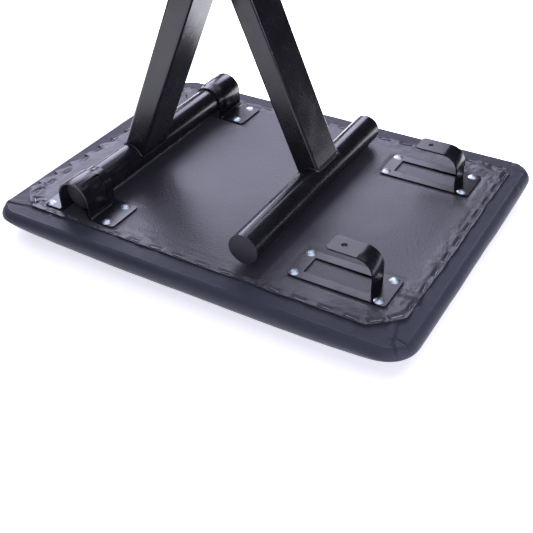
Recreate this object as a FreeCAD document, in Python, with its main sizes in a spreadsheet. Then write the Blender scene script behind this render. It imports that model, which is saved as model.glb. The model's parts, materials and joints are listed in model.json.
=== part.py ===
"""Padded seat board on a folding X frame, stored upside down: seat face on the floor, feet in the air.

Frame: origin at the middle of the seat face that rests on the floor, +Z up, +X from the clamps to the
hooks, +Y along the crossbars. Millimetres. Bodies: seat, leg_a (fixed crossbar) and leg_b (loose crossbar).
"""
import FreeCAD, Part
import math
import os
import re
import Sketcher

V = FreeCAD.Vector
doc = FreeCAD.newDocument("x_frame_seat")
dims = doc.addObject("Spreadsheet::Sheet", "dims")

DRIVING = {
    # padded seat board
    "seat_thick": 30, "cover_length": 424, "cover_width": 322, "cover_corner": 25, "cover_sheet": 1,
    "crease_round": 5, "face_round": 17, "margin_width": 36, "board_length": 400, "board_width": 298,
    "board_thick": 12, "board_corner": 20, "dust_sheet": 0.5, "dust_length": 388, "dust_width": 278,
    "dust_corner": 10,
    # staples: one wire size, and the two rows of them
    "staple_crown": 11, "staple_wire": 0.7, "staple_leg": 6, "staple_inset": 3, "dust_staple_pitch": 24.5,
    "cover_staple_pitch": 42, "cover_staple_in": 15,
    # crossbars and their place over the underside
    "bar_radius": 14, "bar_wall": 1.5, "bar_half": 118.5, "bar_height": 17.4, "fixed_bar_x": -132.3,
    "plug_flange": 1.5, "plug_depth": 12, "cap_radius": 15.2, "cap_reach": 12, "run_gap": 0.05,
    # saddle clamps
    "sheet_steel": 1.5, "clamp_start": 92, "clamp_length": 38, "collar_length": 6, "taper_length": 5.5,
    "dome_inner": 15.6, "flange_wide": 43.3, "flange_short": 38.5, "clamp_screw_x": 33.1,
    "clamp_screw_out": 125.7, "clamp_screw_pitch": 28.3, "root_round": 3, "flange_corner": 3,
    "slit_start": 101.1, "slot_width": 2, "slot_angle": 58, "slot_low_angle": -28, "slot_long": 20,
    "heel_long": 6, "square_slot": 3, "square_slot_turn": 13, "square_slot_start": 24.5, "saddle_width": 27.8,
    "saddle_high": 9, "saddle_length": 13, "saddle_gap": 0.3,
    # hooks
    "hook_x": 127.3, "hook_y": 92.2, "plate_length": 90, "plate_width": 40, "plate_corner": 2.5,
    "window_length": 61, "window_width": 22, "window_start": -33.8, "tongue_width": 21, "tongue_back": 29.7,
    "tongue_tip": -14.2, "tongue_top": 33.3, "bend_outer": 16, "tip_round": 4, "eye_radius": 1.2,
    "eye_sink_radius": 2.7, "eye_sink_depth": 1.1, "eye_from_tip": 12.3, "hook_screw_x": 39,
    "hook_screw_y": 15, "hook_screw_shift": -1.2,
    # screws
    "shank_radius": 2, "shank_length": 12, "head_radius": 4.7, "head_high": 1.6, "recess_long": 4.4,
    "recess_wide": 0.9, "recess_deep": 0.9,
    # legs, pivot and feet
    "rest_angle": 23.6, "pivot_reach": 220.5, "foot_reach": 510.5, "leg_depth": 22.5, "leg_width": 41.5,
    "leg_wall": 1.5, "leg_round": 2.5, "leg_offset": 22.5, "hole_pitch": 25, "bolt_radius": 4,
    "bolt_gap": 0.06, "washer_radius": 9, "washer_thick": 1.6, "spacer_radius": 14, "turn_gap": 0.2,
    "sleeve_radius": 6.5, "hex_radius": 7.5, "bolt_head": 5.3, "nut_high": 6.5, "nut_collar": 1.5,
    "nut_ring": 6.4, "bolt_end": 2, "foot_half": 148, "foot_cap_radius": 16.5, "foot_cap_length": 32,
    "foot_cap_end": 4, "foot_cap_round": 3, "weld_size": 1.6, "drain_radius": 2.2, "drain_y": 3, "drain_angle": -40,
}
for row, (alias, number) in enumerate(DRIVING.items(), 1):
    dims.set("A%d" % row, alias)
    dims.set("B%d" % row, str(number))
    dims.setAlias("B%d" % row, alias)
doc.recompute()


def size(alias):
    """A driving dimension, read back from the sheet."""
    return float(dims.get(alias))


# ---------------------------------------------------------------- small builders
def bind(feature, **formulas):
    """Bind properties to formulas in the sheet's aliases, written without the sheet's name."""
    for prop, formula in formulas.items():
        feature.setExpression(prop, re.sub(r"[a-z_]+", r"dims.\g<0>", formula))
    return feature


def place(feature, x=0.0, y=0.0, z=0.0, axis=V(0, 1, 0), angle=0.0):
    feature.Placement = FreeCAD.Placement(V(x, y, z), FreeCAD.Rotation(axis, angle))
    return feature


def box(name, length, width, height, x=0.0, y=0.0, z=0.0):
    """A box centred on x and y that stands on z; the three sizes are formulas."""
    item = bind(doc.addObject("Part::Box", name), Length=length, Width=width, Height=height)
    doc.recompute([item])
    return place(item, x - item.Length.Value / 2, y - item.Width.Value / 2, z)


def rod(name, radius, length, x=0.0, y=0.0, z=0.0, along="Y"):
    """A cylinder that starts at the given point and runs along +Y or +Z."""
    item = bind(doc.addObject("Part::Cylinder", name), Radius=radius, Height=length)
    turn = -90 if along == "Y" else 0
    return place(item, x, y, z, V(1, 0, 0), turn)


def centred_rod(name, radius, half, x=0.0, z=0.0):
    """A cylinder along Y, centred on the XZ plane, whose half length is a formula."""
    item = bind(doc.addObject("Part::Cylinder", name), Radius=radius, Height="2*(%s)" % half)
    doc.recompute([item])
    return place(item, x, -item.Height.Value / 2, z, V(1, 0, 0), -90)


def join(name, *parts):
    item = doc.addObject("Part::MultiFuse", name)
    item.Shapes = list(parts)
    return item


def cut(name, base, *tools):
    item = doc.addObject("Part::Cut", name)
    item.Base = base
    item.Tool = tools[0] if len(tools) == 1 else join(name + "_tools", *tools)
    return item


def common(name, first, second):
    item = doc.addObject("Part::Common", name)
    item.Base = first
    item.Tool = second
    return item


def copies(name, master, places):
    """Identical pieces that share one node, as separate solids."""
    doc.recompute()
    solids = []
    for spot in places:
        solid = master.Shape.copy()
        solid.Placement = spot.multiply(solid.Placement)
        solids.append(solid)
    item = doc.addObject("Part::Feature", name)
    item.Shape = Part.makeCompound(solids)
    return item


def sketch_on(body, name, role):
    """A sketch on one of the body's own origin planes."""
    sheet = body.newObject("Sketcher::SketchObject", name)
    origin_plane = next(f for f in body.Origin.OriginFeatures if f.Role == role)
    sheet.AttachmentSupport = (origin_plane, [""])
    sheet.MapMode = "FlatFace"
    return sheet


def rectangle(body, name, length, width):
    """A rectangle on the XY plane, centred on the origin, with bound sides."""
    sheet = sketch_on(body, name, "XY_Plane")
    corners = [V(-10, -10, 0), V(10, -10, 0), V(10, 10, 0), V(-10, 10, 0)]
    for i in range(4):
        sheet.addGeometry(Part.LineSegment(corners[i], corners[(i + 1) % 4]), False)
    for i in range(4):
        sheet.addConstraint(Sketcher.Constraint("Coincident", i, 2, (i + 1) % 4, 1))
    for i, way in enumerate(("Horizontal", "Vertical", "Horizontal", "Vertical")):
        sheet.addConstraint(Sketcher.Constraint(way, i))
    sheet.addConstraint(Sketcher.Constraint("Symmetric", 0, 1, 2, 1, -1, 1))
    for index, formula, side in ((0, length, "DistanceX"), (1, width, "DistanceY")):
        datum = sheet.addConstraint(Sketcher.Constraint(side, index, 1, index, 2, 20.0))
        bind(sheet, **{"Constraints[%d]" % datum: formula})
    return sheet


def edges_where(feature, test):
    doc.recompute()
    found = ["Edge%d" % i for i, e in enumerate(feature.Shape.Edges, 1) if test(e)]
    if not found:
        raise ValueError("no edge chosen on " + feature.Name)
    return found


def upright(edge):
    """True for a straight edge along Z."""
    ends = edge.BoundBox
    return ends.XLength < 1e-6 and ends.YLength < 1e-6


def at_height(level):
    """A test for edges that lie flat at one height."""
    def test(edge):
        ends = edge.BoundBox
        return abs(ends.ZMin - level) < 1e-6 and abs(ends.ZMax - level) < 1e-6
    return test


def fillet(body, name, base, test, radius):
    item = body.newObject("PartDesign::Fillet", name)
    item.Base = (base, edges_where(base, test))
    return bind(item, Radius=radius)


def rounded_block(name, length, width, height, corner, x=0.0, y=0.0, z=0.0):
    """A padded rectangle with rounded upright corners; returns the body and its last feature."""
    body = doc.addObject("PartDesign::Body", name)
    pad = body.newObject("PartDesign::Pad", name + "_pad")
    pad.Profile = rectangle(body, name + "_outline", length, width)
    bind(pad, Length=height)
    rounded = fillet(body, name + "_corners", pad, upright, corner)
    place(body, x, y, z)
    return body, rounded


NODES = []


def node(feature, label):
    """Name a finished sub-part."""
    feature.Label = label
    NODES.append(feature)
    return feature


# ---------------------------------------------------------------- places worked out from the sheet
UNDERSIDE = size("seat_thick")
COVER_TOP = UNDERSIDE - size("dust_sheet")
BAR_Z = UNDERSIDE + size("bar_height")
FIXED_X = size("fixed_bar_x")
REST = math.radians(size("rest_angle"))
LOOSE_X = FIXED_X + 2 * size("pivot_reach") * math.sin(REST)
PIVOT_X = (FIXED_X + LOOSE_X) / 2
PIVOT_Z = BAR_Z + size("pivot_reach") * math.cos(REST)
SIDES = {"near": -1, "far": 1}


def clamp_screw_spots():
    for side in SIDES.values():
        for along in (-1, 1):
            for step in (0, 1):
                y = side * (size("clamp_screw_out") - step * size("clamp_screw_pitch"))
                yield FIXED_X + along * size("clamp_screw_x"), y


def hook_screw_spots():
    for side in SIDES.values():
        for along in (-1, 1):
            for across in (-1, 1):
                x = size("hook_x") + size("hook_screw_shift") + along * size("hook_screw_x")
                yield x, side * size("hook_y") + across * size("hook_screw_y")


def screw_holes(name, spots):
    """Rods that drill the shank holes through the sheets and into the board."""
    low = UNDERSIDE + size("sheet_steel") - size("shank_length")
    high = "shank_length+1"
    return join(name, *[rod("%s_%d" % (name, i), "shank_radius", high, x, y, low, "Z")
                        for i, (x, y) in enumerate(spots)])


CLAMP_HOLES = screw_holes("clamp_hole", clamp_screw_spots())
HOOK_HOLES = screw_holes("hook_hole", hook_screw_spots())


# ---------------------------------------------------------------- padded seat board
def seat_form(name, inset, floor, height):
    """The seat's rounded outer form, or the same form drawn in by the cover's thickness."""
    body, rounded = rounded_block(name, "cover_length-2*(%s)" % inset, "cover_width-2*(%s)" % inset,
                                  height, "cover_corner-(%s)" % inset, z=floor)
    doc.recompute()
    top = rounded.Shape.BoundBox.ZMax
    crease = fillet(body, name + "_crease", rounded, at_height(top), "crease_round-(%s)" % inset)
    fillet(body, name + "_face", crease, at_height(0), "face_round-(%s)" % inset)
    return body


def make_seat():
    outer = seat_form("cover_form", "0", 0, "seat_thick-dust_sheet")
    inner = seat_form("foam_form", "cover_sheet", size("cover_sheet"),
                      "seat_thick-dust_sheet-2*cover_sheet")
    board_low = COVER_TOP - size("cover_sheet") - size("board_thick")
    board, _ = rounded_block("board_blank", "board_length", "board_width", "board_thick",
                             "board_corner", z=board_low)
    opening, _ = rounded_block("margin_opening", "cover_length-2*crease_round-2*margin_width",
                               "cover_width-2*crease_round-2*margin_width", "2*cover_sheet",
                               "board_corner", z=COVER_TOP - 1.5 * size("cover_sheet"))
    dust, _ = rounded_block("dust_blank", "dust_length", "dust_width", "dust_sheet", "dust_corner",
                            z=COVER_TOP)
    node(cut("seat_board_cut", board, CLAMP_HOLES, HOOK_HOLES), "seat_board")
    node(cut("foam_pad_cut", inner, board), "foam_pad")
    node(cut("seat_cover_cut", outer, inner, opening, CLAMP_HOLES), "seat_cover")
    node(cut("dust_cover_cut", dust, CLAMP_HOLES, HOOK_HOLES), "dust_cover")


def staple_spots(half_x, half_y, pitch):
    """Evenly spaced spots along the four sides of a rectangle, each with its angle about Z."""
    spots = []
    for side in (-1, 1):
        for half, turn in ((half_x, 0), (half_y, 90)):
            count = round(2 * half / pitch)
            for i in range(count):
                along = (i - (count - 1) / 2) * 2 * half / count
                spots.append((along, side * half_y, turn) if turn == 0 else (side * half_x, along, turn))
    return spots


def clear_of_plates(x, y):
    """True where a staple misses the clamps' and hooks' plates."""
    reach = size("staple_crown") / 2 + 1
    near_clamp = abs(x - FIXED_X) < size("flange_wide") + reach and abs(y) > size("clamp_start") - reach
    clamp_ends = size("clamp_start") + size("clamp_length") + 1
    near_hook = abs(x - size("hook_x")) < size("plate_length") / 2 + reach
    hook_ends = size("hook_y") + size("plate_width") / 2 + 1
    return not (near_clamp and abs(y) < clamp_ends) and not (near_hook and abs(y) < hook_ends)


def make_staples(label, top, inset, pitch):
    """Staples driven along a rectangle drawn in from the dust cover's edge."""
    wire = "staple_wire"
    crown = box(label + "_crown", "staple_crown", wire, wire)
    legs = [box("%s_leg_%d" % (label, side + 1), wire, wire, "staple_leg+staple_wire",
                side * (size("staple_crown") - size(wire)) / 2, 0, -size("staple_leg"))
            for side in (-1, 1)]
    master = join(label + "_one", crown, *legs)
    half_x, half_y = size("dust_length") / 2 - inset, size("dust_width") / 2 - inset
    places = [FreeCAD.Placement(V(x, y, top), FreeCAD.Rotation(V(0, 0, 1), turn))
              for x, y, turn in staple_spots(half_x, half_y, pitch) if clear_of_plates(x, y)]
    node(copies(label, master, places), label)


# ---------------------------------------------------------------- saddle clamps for the fixed crossbar
def clamp_ring(name, side, inner, outer, start, length):
    """One stretch of a clamp along the bar: a solid arch on its two walls, less its hollow.

    inner, outer and length are formulas; start is its distance from the middle of the board.
    """
    arch = rod(name + "_arch", outer, length, FIXED_X, 0, BAR_Z)
    doc.recompute([arch])
    long = arch.Height.Value
    low = side * start if side > 0 else side * (start + long)
    place(arch, FIXED_X, low, BAR_Z, V(1, 0, 0), -90)
    middle = low + long / 2
    wall = box(name + "_wall", "2*(%s)" % outer, length, "bar_height", FIXED_X, middle, UNDERSIDE)
    bore = rod(name + "_bore", inner, length, FIXED_X, low, BAR_Z)
    room = box(name + "_room", "2*(%s)" % inner, length, "bar_height", FIXED_X, middle, UNDERSIDE)
    solid = join(name + "_full", arch, wall, *clamp_roots(name, outer, length, low))
    return cut(name, solid, join(name + "_void", bore, room))


def clamp_roots(name, outer, length, low):
    """Concave bends where the two walls turn into the flanges."""
    roots = []
    for way in (-1, 1):
        block = box("%s_root_%d" % (name, way + 1), "root_round", length, "root_round", 0, 0, 0)
        doc.recompute([block])
        long, round_by = block.Width.Value, size("root_round")
        outside = rod("%s_bend_%d" % (name, way + 1), "root_round", length)
        reach = RING_OUTER[outer] + round_by
        floor = UNDERSIDE + size("sheet_steel")
        place(block, FIXED_X + way * (reach - round_by / 2) - round_by / 2, low, floor)
        place(outside, FIXED_X + way * reach, low, floor + round_by, V(1, 0, 0), -90)
        roots.append(cut("%s_fillet_%d" % (name, way + 1), block, outside))
    return roots


COLLAR_OUTER = "bar_radius+run_gap+sheet_steel"
DOME_OUTER = "dome_inner+sheet_steel"
RING_OUTER = {COLLAR_OUTER: size("bar_radius") + size("run_gap") + size("sheet_steel"),
              DOME_OUTER: size("dome_inner") + size("sheet_steel")}


def saddle_outline(name, radius, flare, y):
    """Outline across the bar: two walls under a half circle, whose feet turn outward by flare."""
    floor, foot = UNDERSIDE + size("sheet_steel"), radius + flare
    wall_low = floor + flare if flare else UNDERSIDE
    inside = flare * (1 - math.sqrt(0.5))

    def spot(x, z):
        return V(FIXED_X + x, y, z)

    edges = [Part.Arc(spot(-radius, BAR_Z), spot(0, BAR_Z + radius), spot(radius, BAR_Z)).toShape(),
             Part.makeLine(spot(foot, UNDERSIDE), spot(-foot, UNDERSIDE))]
    for way in (1, -1):
        run = [Part.makeLine(spot(way * radius, BAR_Z), spot(way * radius, wall_low))]
        if flare:
            bend = Part.Arc(spot(way * radius, wall_low), spot(way * (radius + inside), floor + inside),
                            spot(way * foot, floor))
            run += [bend.toShape(), Part.makeLine(spot(way * foot, floor), spot(way * foot, UNDERSIDE))]
        edges += run
    item = doc.addObject("Part::Feature", name)
    item.Shape = Part.Wire(Part.__sortEdges__(edges))
    return item


def saddle_taper(name, side, first, last, flare):
    """Solid between two outlines, from radius first at the collar to radius last at the dome."""
    start = size("clamp_start") + size("collar_length")
    item = doc.addObject("Part::Loft", name)
    item.Sections = [saddle_outline(name + "_from", first, flare, side * start),
                     saddle_outline(name + "_to", last, flare, side * (start + size("taper_length")))]
    item.Solid = True
    item.Ruled = True
    return item


def make_clamp(name, side, slot_way):
    """A sheet-steel saddle: a tight collar that widens to a dome, and two screwed flanges.

    side is the sign of Y on which it sits; slot_way is the X side its slit window faces.
    """
    bore = "bar_radius+run_gap"
    dome_long = "clamp_length-collar_length-taper_length"
    dome_start = size("clamp_start") + size("collar_length") + size("taper_length")
    clamp_end = size("clamp_start") + size("clamp_length")
    collar = clamp_ring(name + "_collar", side, bore, COLLAR_OUTER, size("clamp_start"), "collar_length")
    taper = saddle_taper(name + "_taper", side, RING_OUTER[COLLAR_OUTER], RING_OUTER[DOME_OUTER],
                         size("root_round"))
    taper_room = saddle_taper(name + "_taper_room", side, size("bar_radius") + size("run_gap"),
                              size("dome_inner"), 0)
    dome = clamp_ring(name + "_dome", side, "dome_inner", DOME_OUTER, dome_start, dome_long)
    middle = side * (size("clamp_start") + clamp_end) / 2
    centre = FIXED_X + (size("flange_wide") - size("flange_short")) / 2
    base, _ = rounded_block(name + "_base", "flange_wide+flange_short", "clamp_length", "sheet_steel",
                            "flange_corner", centre, middle, UNDERSIDE)
    tunnel = box(name + "_tunnel", "2*(%s)" % bore, "clamp_length", "sheet_steel", FIXED_X, middle, UNDERSIDE)
    dome_room = box(name + "_dome_room", "2*dome_inner", dome_long, "sheet_steel", FIXED_X,
                    side * (dome_start + clamp_end) / 2, UNDERSIDE)
    body = join(name + "_body", collar, taper, dome, cut(name + "_flanges", base, tunnel))
    slits = clamp_slits(name, side, slot_way, size("slit_start"))
    node(cut(name + "_cut", body, taper_room, dome_room, CLAMP_HOLES, slits), name)


def clamp_slits(name, side, slot_way, slit_y):
    """The C-shaped slit that frees the dome from the collar, and the small square slot beyond it."""
    middle_radius = size("dome_inner") + size("sheet_steel") / 2
    reach = 1.5 * size("sheet_steel")
    low, high = size("slot_low_angle"), size("slot_angle")

    def axial(part, angle, start, length):
        """A slot along the bar at one angle round the dome."""
        turn = math.radians(angle)
        slot = bind(doc.addObject("Part::Box", name + part), Length="4*sheet_steel", Width="slot_width",
                    Height=length)
        radial = V(slot_way * math.cos(turn), 0, math.sin(turn))
        along = V(0, side, 0)
        around = along.cross(radial)
        corner = V(FIXED_X, side * start, BAR_Z) + radial * (middle_radius - reach)
        corner = corner - around * (size("slot_width") / 2)
        matrix = FreeCAD.Matrix(radial.x, around.x, along.x, corner.x, radial.y, around.y, along.y,
                                corner.y, radial.z, around.z, along.z, corner.z, 0, 0, 0, 1)
        slot.Placement = FreeCAD.Placement(matrix)
        return slot

    sweep = bind(doc.addObject("Part::Cylinder", name + "_sweep"), Radius="dome_inner+3*sheet_steel",
                 Height="slot_width", Angle="slot_angle-slot_low_angle")
    start_y = slit_y if side > 0 else -slit_y - size("slot_width")
    first = -high if slot_way > 0 else low - 180
    spin = FreeCAD.Rotation(V(0, 1, 0), first).multiply(FreeCAD.Rotation(V(1, 0, 0), -90))
    sweep.Placement = FreeCAD.Placement(V(FIXED_X, start_y, BAR_Z), spin)
    core = rod(name + "_sweep_core", "dome_inner-sheet_steel", "slot_width", FIXED_X, start_y, BAR_Z)
    return join(name + "_slits", cut(name + "_arc", sweep, core),
                axial("_crown_slot", high, slit_y, "slot_long"),
                axial("_heel_slot", low, slit_y, "heel_long"),
                axial("_square_slot", high + size("square_slot_turn"), slit_y + size("square_slot_start"),
                      "square_slot"))


def make_saddle(name, side):
    """Nylon cradle that carries the fixed crossbar inside a clamp."""
    start = size("clamp_start") + size("saddle_gap")
    block = box(name + "_block", "saddle_width", "saddle_length", "saddle_high", FIXED_X,
                side * (start + size("saddle_length") / 2), UNDERSIDE)
    low = side * start if side > 0 else side * (start + size("saddle_length"))
    bore = rod(name + "_bore", "bar_radius+run_gap", "saddle_length", FIXED_X, low, BAR_Z)
    node(cut(name + "_cut", block, bore), name)


# ---------------------------------------------------------------- hooks for the loose crossbar
def tongue_outline(body, name):
    """Side view of the tongue on the XZ plane: up from the plate, round the bend, back to the tip."""
    sheet = sketch_on(body, name, "XZ_Plane")
    back, tip, top = size("tongue_back"), size("tongue_tip"), size("tongue_top")
    steel, bend = size("sheet_steel"), size("bend_outer")
    hub = V(back - bend, top - bend, 0)
    up = V(0, 0, 1)

    def quarter(radius):
        return Part.ArcOfCircle(Part.Circle(hub, up, radius), 0, math.pi / 2)

    corners = [V(back, 0, 0), V(back, hub.y, 0), V(hub.x, top, 0), V(tip, top, 0), V(tip, top - steel, 0),
               V(hub.x, top - steel, 0), V(back - steel, hub.y, 0), V(back - steel, 0, 0)]
    line = Part.LineSegment
    pieces = [line(corners[0], corners[1]), quarter(bend), line(corners[2], corners[3]),
              line(corners[3], corners[4]), line(corners[4], corners[5]), quarter(bend - steel),
              line(corners[6], corners[7]), line(corners[7], corners[0])]
    for piece in pieces:
        sheet.addGeometry(piece, False)
    for meeting in ((0, 2, 1, 1), (1, 2, 2, 1), (4, 2, 5, 2), (5, 1, 6, 1)):
        sheet.addConstraint(Sketcher.Constraint("Tangent", *meeting))
    for meeting in ((2, 2, 3, 1), (3, 2, 4, 1), (6, 2, 7, 1), (7, 2, 0, 1), (1, 3, 5, 3)):
        sheet.addConstraint(Sketcher.Constraint("Coincident", *meeting))
    for index, way in ((0, "Vertical"), (2, "Horizontal"), (3, "Vertical"), (4, "Horizontal"),
                       (6, "Vertical"), (7, "Horizontal")):
        sheet.addConstraint(Sketcher.Constraint(way, index))
    sheet.addConstraint(Sketcher.Constraint("PointOnObject", 0, 1, -1))
    datums = [(Sketcher.Constraint("Radius", 1, bend), "bend_outer"),
              (Sketcher.Constraint("Radius", 5, bend - steel), "bend_outer-sheet_steel"),
              (Sketcher.Constraint("DistanceX", -1, 1, 0, 1, back), "tongue_back"),
              (Sketcher.Constraint("DistanceX", 2, 2, -1, 1, -tip), "-tongue_tip"),
              (Sketcher.Constraint("DistanceY", -1, 1, 2, 2, top), "tongue_top")]
    for constraint, formula in datums:
        bind(sheet, **{"Constraints[%d]" % sheet.addConstraint(constraint): formula})
    return sheet


def make_hook(name, side):
    """Screwed base plate with a tongue bent up and back from the window it was cut out of."""
    y = side * size("hook_y")
    plate, _ = rounded_block(name + "_plate", "plate_length", "plate_width", "sheet_steel",
                             "plate_corner", size("hook_x"), y, UNDERSIDE)
    window = box(name + "_window", "window_length", "window_width", "3*sheet_steel",
                 size("hook_x") + size("window_start") + size("window_length") / 2, y,
                 UNDERSIDE - size("sheet_steel"))
    tongue = doc.addObject("PartDesign::Body", name + "_tongue")
    pad = tongue.newObject("PartDesign::Pad", name + "_tongue_pad")
    pad.Profile = tongue_outline(tongue, name + "_tongue_side")
    pad.SideType = "Symmetric"
    bind(pad, Length="tongue_width")

    def tip_corner(edge):
        return upright(edge) and abs(edge.BoundBox.XMin - size("tongue_tip")) < 1e-6

    fillet(tongue, name + "_tip", pad, tip_corner, "tip_round")
    place(tongue, size("hook_x"), y, UNDERSIDE)
    eye_x = size("hook_x") + size("tongue_tip") + size("eye_from_tip")
    tongue_low = UNDERSIDE + size("tongue_top") - size("sheet_steel")
    eye = rod(name + "_eye", "eye_radius", "2*sheet_steel", eye_x, y,
              tongue_low - size("sheet_steel") / 2, "Z")
    sink = bind(doc.addObject("Part::Cone", name + "_eye_sink"), Radius1="eye_radius",
                Radius2="eye_sink_radius", Height="eye_sink_depth")
    place(sink, eye_x, y, UNDERSIDE + size("tongue_top") - size("eye_sink_depth"))
    frame = cut(name + "_frame", plate, window, HOOK_HOLES)
    node(cut(name + "_cut", join(name + "_body", frame, tongue), eye, sink), name)


# ---------------------------------------------------------------- pan-head screws
POINT_RADIUS = 0.2
SCREW_TURN = 37  # each screw stops at its own angle


def make_screws():
    """One screw with a low domed head and a cross recess, copied to every hole."""
    head_high, head_radius = size("head_high"), size("head_radius")
    dome_radius = (head_radius ** 2 + head_high ** 2) / (2 * head_high)
    ball = doc.addObject("Part::Sphere", "head_ball")
    ball.Radius = dome_radius
    place(ball, 0, 0, head_high - dome_radius)
    disc = rod("head_disc", "head_radius", "head_high", along="Z")
    head = common("head_dome", disc, ball)
    shank = rod("screw_shank", "shank_radius", "shank_length-2*shank_radius", 0, 0,
                -(size("shank_length") - 2 * size("shank_radius")), "Z")
    point = bind(doc.addObject("Part::Cone", "screw_point"), Radius2="shank_radius",
                 Height="1.5*shank_radius")
    point.Radius1 = POINT_RADIUS
    place(point, 0, 0, -(size("shank_length") - 0.5 * size("shank_radius")))
    slots = [box("recess_%d" % i, long, wide, "2*recess_deep", 0, 0, head_high - size("recess_deep"))
             for i, (long, wide) in enumerate((("recess_long", "recess_wide"),
                                               ("recess_wide", "recess_long")))]
    screw = cut("screw_one", join("screw_full", head, shank, point), *slots)
    top = UNDERSIDE + size("sheet_steel")
    for label, spots in (("clamp_screws", clamp_screw_spots()), ("hook_screws", hook_screw_spots())):
        places = [FreeCAD.Placement(V(x, y, top), FreeCAD.Rotation(V(0, 0, 1), SCREW_TURN * i))
                  for i, (x, y) in enumerate(spots)]
        node(copies(label, screw, places), label)


# ---------------------------------------------------------------- crossbars, legs and feet
def make_tube(name, half, x, z):
    """A round tube along Y."""
    outside = centred_rod(name + "_outside", "bar_radius", half, x, z)
    inside = centred_rod(name + "_inside", "bar_radius-bar_wall", half + "+1", x, z)
    return cut(name + "_tube", outside, inside)


def make_plugs(label, x, z, outer):
    """Two plastic plugs: an end disc and a spigot inside the tube; a wider one also laps the outside."""
    made = []
    for side in (-1, 1):
        tag = "%s_%s" % (label, "near" if side < 0 else "far")
        end = size("bar_half")
        disc_low = end if side > 0 else -end - size("plug_flange")
        disc = rod(tag + "_disc", outer, "plug_flange", x, disc_low, z)
        spigot_low = end - size("plug_depth") if side > 0 else -end
        spigot = rod(tag + "_spigot", "bar_radius-bar_wall", "plug_depth", x, spigot_low, z)
        pieces = [disc, spigot]
        if outer != "bar_radius":
            lap_low = end - size("cap_reach") if side > 0 else -end
            lap = rod(tag + "_lap", outer, "cap_reach", x, lap_low, z)
            bore = rod(tag + "_lap_bore", "bar_radius", "cap_reach", x, lap_low, z)
            pieces.append(cut(tag + "_sleeve", lap, bore))
        made.append(join(tag, *pieces))
    node(join(label + "_pair", *made), label)


def on_leg(local, bar_x, lean, y=0.0):
    """The frame of a leg: origin on its crossbar, +Z along the leg, leaned about Y."""
    return FreeCAD.Placement(V(bar_x, y, BAR_Z), FreeCAD.Rotation(V(0, 1, 0), lean)).multiply(local)


def lean_all(bar_x, lean, *features):
    for feature in features:
        feature.Placement = on_leg(feature.Placement, bar_x, lean)


def make_leg(letter, side, bar_x, lean):
    """Rectangular tube welded between a crossbar and a foot bar, with three pivot holes."""
    y = side * size("leg_offset")
    tag = "leg_" + letter
    outer, _ = rounded_block(tag + "_outer", "leg_depth", "leg_width", "foot_reach", "leg_round", y=y)
    inner, _ = rounded_block(tag + "_inner", "leg_depth-2*leg_wall", "leg_width-2*leg_wall", "foot_reach",
                             "leg_round-leg_wall", y=y)
    top_bar = centred_rod(tag + "_top_cope", "bar_radius", "leg_offset+leg_width")
    foot_bar = centred_rod(tag + "_foot_cope", "bar_radius", "leg_offset+leg_width", z=size("foot_reach"))
    holes = [centred_rod("%s_hole_%d" % (tag, i), "bolt_radius+bolt_gap", "leg_offset+leg_width",
                         z=size("pivot_reach") + (i - 1) * size("hole_pitch")) for i in range(3)]
    leg = cut(tag + "_cut", outer, inner, top_bar, foot_bar, *holes)
    beads = []
    for end, level in (("top", 0), ("foot", size("foot_reach"))):
        bead_box = box("%s_%s_bead_box" % (tag, end), "leg_depth+2*weld_size", "leg_width+2*weld_size",
                       "2*bar_radius", 0, y, 0 if end == "top" else level - 2 * size("bar_radius"))
        bead_rod = centred_rod("%s_%s_bead_rod" % (tag, end), "bar_radius+weld_size",
                               "leg_offset+leg_width", z=level)
        ring = common("%s_%s_bead" % (tag, end), bead_box, bead_rod)
        bar = top_bar if end == "top" else foot_bar
        beads.append(cut("%s_%s_weld" % (tag, end), ring, bar, outer))
    welds = join("welds_" + letter + "_pair", *beads)
    sleeve_low = y - size("leg_width") / 2 + size("leg_wall")
    sleeve = rod("sleeve_%s_out" % letter, "sleeve_radius", "leg_width-2*leg_wall", 0, sleeve_low,
                 size("pivot_reach"))
    sleeve_bore = rod("sleeve_%s_bore" % letter, "bolt_radius+bolt_gap", "leg_width-2*leg_wall", 0,
                      sleeve_low, size("pivot_reach"))
    bush = cut("sleeve_%s_cut" % letter, sleeve, sleeve_bore)
    lean_all(bar_x, lean, leg, welds, bush)
    node(leg, tag + "_tube")
    node(welds, "welds_" + letter)
    node(bush, "pivot_sleeve_" + letter)


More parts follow.
